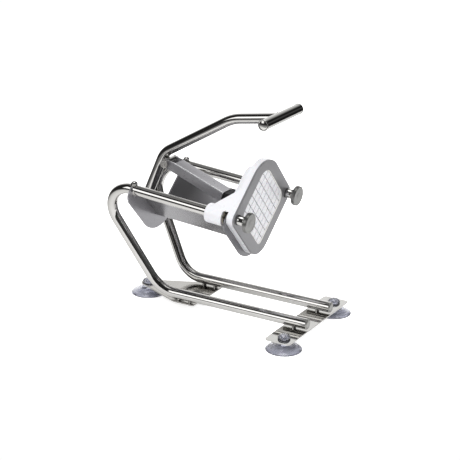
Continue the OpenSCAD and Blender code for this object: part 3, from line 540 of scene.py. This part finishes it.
# ---------------------------------------------------------------------------------------------
# Wave washers: a crinkled spring steel washer sits on each rail between the head's boss and the
# front support plate and keeps the head from rattling. The right one shows in the gap there.
WASHER_S = 160.9 * MM
WASHER_BORE_R = TUBE_R / MM + 0.2
WASHER_OUTER_R = 13.2
WASHER_HALF_T = 1
WAVES = 11
WAVE_H = 0.5 * MM
crinkled_steel = steel_finish("heat_tinted_spring_steel", dark=(0.16, 0.13, 0.09),
                              light=(0.60, 0.55, 0.45), rough=(0.2, 0.35), grain=700, depth=0.1 * MM)
washer_profile = [(WASHER_BORE_R, -WASHER_HALF_T), (WASHER_OUTER_R - 0.8, -WASHER_HALF_T),
                  (WASHER_OUTER_R, -0.6), (WASHER_OUTER_R + 0.3, 0), (WASHER_OUTER_R, 0.6),
                  (WASHER_OUTER_R - 0.8, WASHER_HALF_T), (WASHER_BORE_R, WASHER_HALF_T),
                  (WASHER_BORE_R, -WASHER_HALF_T)]
rail_turn = rail_frame.to_3x3()
for side, name in ((-1, "wave_washer_right"), (1, "wave_washer_left")):
    middle = on_rails(WASHER_S, side * RAIL_Y, 0)
    seat = Matrix.Translation(middle) @ rail_turn.to_4x4() @ facing_front
    washer = lathe(name, washer_profile, seat, crinkled_steel, sides=96, smooth_angle=60)
    for vert in washer.data.vertices:
        out = vert.co - middle
        turn = Vector((0, 0, 1)).angle(out) * (1 if out.y > 0 else -1)
        vert.co += rail_turn @ Vector((1, 0, 0)) * WAVE_H * sin(WAVES * turn)
    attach(washer, "stand")

# ---------------------------------------------------------------------------------------------
# Rail fixings: half rings under the rails carry studs, and a polished dome nut closes each stud
# on top of its rail.
NUT_SEAT = TUBE_R + 0.1 * MM
HEXAGON_R = 5.3 * MM
HEXAGON_H = 2.2 * MM
HEXAGON_EDGE_R = 0.3 * MM
DOME_R = 4.5
DOME_BASE = 2.1
dome_profile = ([(DOME_R, 1.9), (DOME_R, 2.3)] + arc(0, DOME_BASE, DOME_R, 8, 24, 3)
                + [(3.5, 4.35), (2.4, 5.0), (1.1, 5.35), (0, 5.4)])
for node in ("rail_saddles", "rail_studs", "rail_end_nuts"):
    finish_node(node, small_steel)
for side, name in ((-1, "dome_nut_right"), (1, "dome_nut_left")):
    seat = rail_frame @ Matrix.Translation((0, side * RAIL_Y, NUT_SEAT))
    bm = bmesh.new()
    bmesh.ops.create_cone(bm, cap_ends=True, segments=6, radius1=HEXAGON_R, radius2=HEXAGON_R,
                          depth=HEXAGON_H, matrix=Matrix.Translation((0, 0, HEXAGON_H / 2)))
    bmesh.ops.bevel(bm, geom=bm.edges[:], offset=HEXAGON_EDGE_R, segments=3, profile=0.5,
                    affect="EDGES", material=-1)
    bmesh.ops.transform(bm, matrix=seat, verts=bm.verts)
    hexagon = object_from(bm, name + "_hexagon", polished_tube)
    dome = lathe(name, dome_profile, seat, polished_tube, smooth_angle=60)
    for piece in (hexagon, dome):
        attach(piece, "stand")
        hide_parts("dome_nuts")

# ---------------------------------------------------------------------------------------------
# Trough: one folded sheet of 1.5 mm steel. Both walls slope at 45 degrees to a rounded bottom. Its
# inside carries painted shade at the rear that turns to painted light towards the blades.
TROUGH_EDGE_R = 0.3 * MM
# Painted light and shade on the upward inner faces: full shade at the rear, full light near the blades.
PAINTED_SHADE_X = -95 * MM
PAINTED_LIGHT_X = -20 * MM
UPWARD = 0.3
trough_sheet = steel_finish("trough_sheet_steel", dark=(0.31, 0.305, 0.318), light=(0.35, 0.345, 0.358),
                            rough=(0.21, 0.25), grain=220, stretch=SATIN_STRETCH, metal=0.72)
painted_light_trough_sheet, nodes, links, shader = new_material("trough_painted_light_steel")
shader.inputs["Metallic"].default_value = 0.62
place = nodes.new("ShaderNodeTexCoord")
along = nodes.new("ShaderNodeSeparateXYZ")
links.new(place.outputs["Object"], along.inputs["Vector"])
shade_to_light = nodes.new("ShaderNodeMapRange")
shade_to_light.interpolation_type = "SMOOTHSTEP"
shade_to_light.inputs["From Min"].default_value = PAINTED_SHADE_X
shade_to_light.inputs["From Max"].default_value = PAINTED_LIGHT_X
links.new(along.outputs["X"], shade_to_light.inputs["Value"])
# Dark colour is the painted shade, light colour the painted light.
tint(nodes, links, shade_to_light, (0.15, 0.148, 0.155), (0.56, 0.555, 0.58), shader.inputs["Base Color"])
spread(nodes, links, object_noise(nodes, links, 220, 4, SATIN_STRETCH), 0.21, 0.27,
       shader.inputs["Roughness"])
relief(nodes, links, object_noise(nodes, links, 440, 3, SATIN_STRETCH), FINE_GRAIN,
       shader.inputs["Normal"])
trough = rounded_copy("v_trough", "folded_trough", TROUGH_EDGE_R, trough_sheet)
trough.data.materials.append(painted_light_trough_sheet)
for face in trough.data.polygons:
    if face.normal.z > UPWARD:
        face.material_index = 1
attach(trough, "stand")
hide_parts("v_trough")

# ---------------------------------------------------------------------------------------------
# Lever pivot: two steel lugs are welded behind the rear support plate. A headed pin with a clip
# goes through them.
LUG_EDGE_R = 0.3 * MM
lugs = rounded_copy("pivot_lugs", "welded_lugs", LUG_EDGE_R, satin_sheet)
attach(lugs, "stand")
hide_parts("pivot_lugs")
for node in ("pivot_pin", "pivot_clips"):
    finish_node(node, small_steel)

# ---------------------------------------------------------------------------------------------
# Head block: a white plastic moulding. A square plate stands on its corner, and two hollow bosses
# with flared webs reach back over the ends of the rails.
HEAD_EDGE_R = 0.8 * MM
white_moulding, nodes, links, shader = new_material("white_moulded_plastic")
tint(nodes, links, object_noise(nodes, links, 25, 3), (0.72, 0.72, 0.75), (0.76, 0.76, 0.785),
     shader.inputs["Base Color"])
spread(nodes, links, object_noise(nodes, links, 60, 3), 0.22, 0.36, shader.inputs["Roughness"])
relief(nodes, links, object_noise(nodes, links, 900, 2), 0.012 * MM, shader.inputs["Normal"])
shader.inputs["Subsurface Weight"].default_value = 0.04
shader.inputs["Subsurface Scale"].default_value = 2 * MM
head = rounded_copy("head_block", "head_moulding", HEAD_EDGE_R, white_moulding)
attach(head, "stand")
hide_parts("head_block")

# ---------------------------------------------------------------------------------------------
# Clamp plate: 3 mm steel on the front of the head, which traps the blade set. Its face is ground
# satin grey, and the walls and rounded rim of its window are left bright.
CLAMP_FRONT = 179 * MM
CLAMP_EDGE_R = 0.4 * MM
WINDOW_RIM_R = 0.8 * MM
WINDOW_REACH = 64 * MM
SIDEWAYS = 0.5
clamp_steel = steel_finish("clamp_plate_steel", dark=(0.24, 0.237, 0.248), light=(0.28, 0.277, 0.288),
                           rough=(0.34, 0.42), grain=260, stretch=(1, 1, 4), metal=0.5)
cut_edge_steel = steel_finish("cut_edge_steel", dark=(0.84, 0.83, 0.79), light=(0.90, 0.89, 0.86),
                              rough=(0.4, 0.5), grain=300, metal=0.1)
to_rail = rail_frame.inverted()


def in_window(point):
    """Tells whether a point, in the rails' own axes, lies within the window's diamond."""
    return abs(point.y) + abs(point.z) < WINDOW_REACH


def on_window_rim(edge):
    ends = [to_rail @ vert.co for vert in edge.verts]
    return all(in_window(end) and end.x > CLAMP_FRONT - 0.1 * MM for end in ends)


clamp = rounded_copy("front_clamp_plate", "clamp_plate", CLAMP_EDGE_R, clamp_steel,
                     broad_r=WINDOW_RIM_R, is_broad=on_window_rim)
clamp.data.materials.append(cut_edge_steel)
for face in clamp.data.polygons:
    facing = to_rail.to_3x3() @ face.normal
    if in_window(to_rail @ face.center) and abs(facing.x) < SIDEWAYS:
        face.material_index = 1
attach(clamp, "stand")
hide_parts("front_clamp_plate")

# ---------------------------------------------------------------------------------------------
# Blade set: two crossing rows of thin ground steel blades, let into the slots of a square steel
# ring. The clamp plate holds it against the head.
RING_EDGE_R = 0.25 * MM
blade_steel = steel_finish("ground_blade_steel", dark=(0.86, 0.86, 0.85), light=(0.90, 0.90, 0.89),
                           rough=(0.5, 0.6), grain=200, metal=0.0)
ring = rounded_copy("blade_ring", "blade_ring_ground", RING_EDGE_R, blade_steel, segments=2)
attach(ring, "stand")
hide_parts("blade_ring")
for node in ("blades_across", "blades_down"):
    finish_node(node, blade_steel)

# ---------------------------------------------------------------------------------------------
# Knobs: a turned stem and a thick disc on each stud, with a dark washer under the stem. The disc
# has a knurled rim and a turned face.
KNOB_STEM_L = 15
KNOB_T = 6 * MM
KNOB_R = 15 * MM
KNOB_EDGE_R = 0.9 * MM
KNURLS = 60
KNURL_EDGE = 0.12 * MM
KNURL_DEPTH = 0.25 * MM
KNURL_MIN_AREA = 2.5 * MM * MM
FACE_STEPS = ((1.2, 0), (0.3, -0.2), (7.5, 0), (0.3, 0.2))
# Near-black washers. They are partly real and partly painted shade: their dark also stands for the
# contact shade at each stem's foot.
shade_dark_nylon, nodes, links, shader = new_material("shade_dark_nylon")
tint(nodes, links, object_noise(nodes, links, 80, 2), (0.05, 0.05, 0.05), (0.08, 0.08, 0.078),
     shader.inputs["Base Color"])
spread(nodes, links, object_noise(nodes, links, 90, 2), 0.4, 0.55, shader.inputs["Roughness"])
finish_node("knob_washers", shade_dark_nylon)
knob_steel = steel_finish("turned_knob_steel", dark=(0.24, 0.24, 0.234), light=(0.36, 0.36, 0.35),
                          rough=(0.28, 0.42), grain=420, depth=0.01 * MM)
knob_stem_steel = steel_finish("knob_stem_steel", dark=(0.56, 0.555, 0.54), light=(0.64, 0.635, 0.62),
                               rough=(0.1, 0.17), grain=200)
stud = [(0, -26), (4, -26), (4, 1.2)]
collar = [(6.9, 1.2), (7.2, 1.5), (7.2, 9.5), (7, 9.9), (6.2, 10.4)]
waist = [(6, 10.6), (6, 11.3), (6.3, 11.5)]
shoulder = [(8.1, 11.9), (8.4, 12.2), (8.4, 13.6), (8.2, 13.9), (7.3, 14.7)]
stem_profile = stud + collar + waist + shoulder + [(7.2, KNOB_STEM_L), (0, KNOB_STEM_L)]
for side, hand in ((-1, "right"), (1, "left")):
    seat = rail_frame @ Matrix.Translation((CLAMP_FRONT, side * RAIL_Y, 0)) @ facing_front
    stem = lathe("knob_stem_" + hand, stem_profile, seat, knob_stem_steel)
    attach(stem, "knob_" + hand)
    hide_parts("knob_stud_" + hand)
    bm = bmesh.new()
    bmesh.ops.create_cone(bm, cap_ends=True, segments=2 * KNURLS, radius1=KNOB_R, radius2=KNOB_R,
                          depth=KNOB_T, matrix=Matrix.Translation((0, 0, KNOB_STEM_L * MM + KNOB_T / 2)))
    rims = [edge for edge in bm.edges if any(len(face.verts) > 4 for face in edge.link_faces)]
    bmesh.ops.bevel(bm, geom=rims, offset=KNOB_EDGE_R, segments=4, profile=0.5, affect="EDGES",
                    material=-1)
    flanks = [face for face in bm.faces if len(face.verts) == 4 and face.calc_area() > KNURL_MIN_AREA]
    flanks.sort(key=lambda face: face.calc_center_median().to_2d().angle_signed(Vector((1, 0))))
    bmesh.ops.inset_individual(bm, faces=flanks[::2], thickness=KNURL_EDGE, depth=-KNURL_DEPTH)
    front = max(bm.faces, key=lambda face: face.calc_center_median().z)
    for width, height in FACE_STEPS:
        bmesh.ops.inset_region(bm, faces=[front], thickness=width * MM, depth=height * MM)
    bmesh.ops.transform(bm, matrix=seat, verts=bm.verts)
    disc = object_from(bm, "knob_disc_turned_" + hand, knob_steel, smooth_angle=30)
    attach(disc, "knob_" + hand)
    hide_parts("knob_disc_" + hand)

# ---------------------------------------------------------------------------------------------
# Lever: the same tube as the stand, bent twice. Its foot is welded to the pivot bush, and the
# cross bush for the link goes through it under the first bend.
LEVER_PIVOT_S, LEVER_PIVOT_N = -29.2 * MM, -58 * MM
FIRST_BEND_S, FIRST_BEND_N = 3.7 * MM, 41.4 * MM
SECOND_BEND_S, SECOND_BEND_N = 115.8 * MM, 120.4 * MM
LEVER_END_S, LEVER_END_N = 194.06 * MM, 139.17 * MM
FIRST_BEND_R = 38 * MM
SECOND_BEND_R = 70 * MM
FOOT_GAP = 8.6 * MM
END_GAP = 5 * MM
BUSH_EDGE_R = 0.3 * MM
lever_pivot = on_rails(LEVER_PIVOT_S, 0, LEVER_PIVOT_N)
first_bend = on_rails(FIRST_BEND_S, 0, FIRST_BEND_N)
second_bend = on_rails(SECOND_BEND_S, 0, SECOND_BEND_N)
lever_end = on_rails(LEVER_END_S, 0, LEVER_END_N)
last_run = (lever_end - second_bend).normalized()
first_run = (first_bend - lever_pivot).normalized()
lever_route = [lever_pivot + first_run * FOOT_GAP, first_bend, second_bend,
               lever_end - last_run * END_GAP]
lever = bent_tube("lever_bent_tube", lever_route, (FIRST_BEND_R, SECOND_BEND_R), polished_tube)
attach(lever, "lever")
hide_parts("lever_tube")
turned_bush = steel_finish("turned_bush_steel", dark=(0.70, 0.69, 0.67), light=(0.82, 0.81, 0.79),
                           rough=(0.12, 0.22), grain=400)
for node in ("lever_pivot_bush", "link_bush"):
    bush = rounded_copy(node, node + "_turned", BUSH_EDGE_R, turned_bush)
    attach(bush, "lever")
    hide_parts(node)

# ---------------------------------------------------------------------------------------------
# Handle: a short cross tube, welded to the lever's end. A pressed steel cap with a groove round
# its low dome closes each end.
HANDLE_HALF = 52 * MM
HANDLE_N = 141.1 * MM
CAP_DEPTH = 8
CAP_R = 8.49
CAP_EDGE_R = 1
CAP_EDGE_H = 0.9
DOME_REACH = 6.7
DOME_MID_H = 1.5
handle_at = on_rails(LEVER_END_S, 0, HANDLE_N)
along_y = Vector((0, 1, 0))
# The handle tube is a darker copy of the polished steel: painted shade in its reflections.
shaded_handle_polish = steel_finish("handle_tube_steel_painted_shade", dark=(0.38, 0.375, 0.36), light=(0.43, 0.425, 0.41),
                             rough=(0.04, 0.08), grain=90)
handle_ends = [handle_at - along_y * HANDLE_HALF, handle_at + along_y * HANDLE_HALF]
handle = bent_tube("handle_cross_tube", handle_ends, (), shaded_handle_polish)
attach(handle, "lever")
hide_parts("handle_tube")
cap_steel = steel_finish("pressed_cap_steel", dark=(0.60, 0.59, 0.57), light=(0.70, 0.69, 0.67),
                         rough=(0.12, 0.2), grain=300)
cap_dome = [(radius, DOME_MID_H * (1 + cos(pi * radius / (2 * DOME_REACH))))
            for radius in (6.3, 5.4, 4.5, 3.6, 2.7, 1.8, 0.9, 0)]
cap_profile = (
    [(0, -CAP_DEPTH), (PLUG_R, -CAP_DEPTH), (PLUG_R, 0), (8.4, 0), (CAP_R, CAP_EDGE_H)]
    + arc(CAP_R - CAP_EDGE_R, CAP_EDGE_H, CAP_EDGE_R, 10, 80, 5) + [(7.1, 1.75), (6.7, 1.3)] + cap_dome)
for side, name in ((-1, "handle_cap_right"), (1, "handle_cap_left")):
    seat = (Matrix.Translation(handle_at + along_y * side * HANDLE_HALF)
            @ Matrix.Rotation(radians(-90 * side), 4, "X"))
    cap = lathe(name, cap_profile, seat, cap_steel, smooth_angle=45)
    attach(cap, "lever")
    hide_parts("handle_end_caps")

# ---------------------------------------------------------------------------------------------
# Handle weld: a thin bead follows the saddle line where the lever's end meets the handle. It is
# thickest on top, and the heat has left it darker than the tubes.
WELD_R = 1.2 * MM
WELD_THINNING = 0.25
WELD_STEPS = 72
WELD_SIDES = 10
weld_steel = steel_finish("weld_bead_steel", dark=(0.10, 0.09, 0.08), light=(0.30, 0.28, 0.25),
                          rough=(0.2, 0.4), grain=500, depth=0.05 * MM)
lever_top = last_run.cross(along_y)
bm = bmesh.new()
rings = []
for step in range(WELD_STEPS):
    angle = 2 * pi * step / WELD_STEPS
    outward = lever_top * cos(angle) + along_y * sin(angle)
    from_handle = lever_end - handle_at + outward * TUBE_R
    height = from_handle.dot(lever_top)
    back = max(END_GAP, from_handle.dot(last_run) + max(0, TUBE_R ** 2 - height ** 2) ** 0.5)
    seam = lever_end + outward * TUBE_R - last_run * back
    across = Matrix((-last_run, outward, -last_run.cross(outward))).transposed().to_4x4()
    bead_r = WELD_R * (1 - WELD_THINNING + WELD_THINNING * cos(angle))
    circle = set(bmesh.ops.create_circle(bm, segments=WELD_SIDES, radius=bead_r,
                                         matrix=Matrix.Translation(seam) @ across)["verts"])
    rings.append([edge for edge in bm.edges if edge.verts[0] in circle])
for here, after in zip(rings, rings[1:] + rings[:1]):
    bmesh.ops.bridge_loops(bm, edges=here + after)
bmesh.ops.recalc_face_normals(bm, faces=bm.faces)
weld = object_from(bm, "handle_weld_bead", weld_steel, smooth_angle=60)
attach(weld, "lever")

# ---------------------------------------------------------------------------------------------
# Push link: 1.5 mm sheet folded to a channel, with a hexagon bolt and nut at its rear end and a
# plain cross pin inside its front end. Its two long folds carry a brighter steel as a painted highlight.
LINK_EDGE_R = 0.3 * MM
LINK_FOLD_R = 1.7 * MM
LINK_FOLD_MIN_L = 80 * MM
LINK_FOLD_MAX_L = 95 * MM
BOLT_EDGE_R = 0.5 * MM


def is_long_fold(edge):
    return LINK_FOLD_MIN_L < edge.calc_length() < LINK_FOLD_MAX_L


channel = rounded_copy("push_link", "folded_push_link", LINK_EDGE_R, satin_sheet,
                       broad_r=LINK_FOLD_R, is_broad=is_long_fold)
# A brighter steel on the two long folds: a painted highlight.
channel.data.materials.append(
    steel_finish("fold_painted_highlight_steel", dark=(0.60, 0.60, 0.62), light=(0.72, 0.72, 0.74),
                 rough=(0.2, 0.3), grain=300, metal=0.7))
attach(channel, "link")
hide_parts("push_link")
plated_steel = steel_finish("plated_bolt_steel", dark=(0.72, 0.70, 0.68), light=(0.84, 0.82, 0.80),
                            rough=(0.16, 0.28), grain=400, depth=0.02 * MM)
for node in ("link_bolt", "link_nut"):
    piece = rounded_copy(node, node + "_chamfered", BOLT_EDGE_R, plated_steel)
    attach(piece, "link")
    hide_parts(node)
finish_node("link_front_pin", small_steel)

# ---------------------------------------------------------------------------------------------
# Pusher: a moulded block that the link pushes, and a white plate of square studs that drive
# the potato through the grid. Four screws hold them together. The block is coloured near black as
# a painted shade for the dark in the trough beside the head.
PUSHER_EDGE_R = 0.8 * MM
STUD_EDGE_R = 0.25 * MM
# Near-black colour: a painted shade for the dark in the trough beside the head.
shade_black_moulding, nodes, links, shader = new_material("black_plastic_painted_shade")
tint(nodes, links, object_noise(nodes, links, 40, 3), (0.018, 0.018, 0.019), (0.028, 0.028, 0.03),
     shader.inputs["Base Color"])
spread(nodes, links, object_noise(nodes, links, 60, 3), 0.42, 0.56, shader.inputs["Roughness"])
shader.inputs["Specular IOR Level"].default_value = 0.06
relief(nodes, links, object_noise(nodes, links, 700, 2), 0.02 * MM, shader.inputs["Normal"])
block = rounded_copy("pusher_block", "pusher_moulding", PUSHER_EDGE_R, shade_black_moulding)
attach(block, "pusher")
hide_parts("pusher_block")
studs = rounded_copy("stud_matrix", "stud_moulding", STUD_EDGE_R, white_moulding, segments=2)
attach(studs, "pusher")
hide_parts("stud_matrix")
finish_node("pusher_screws", small_steel)
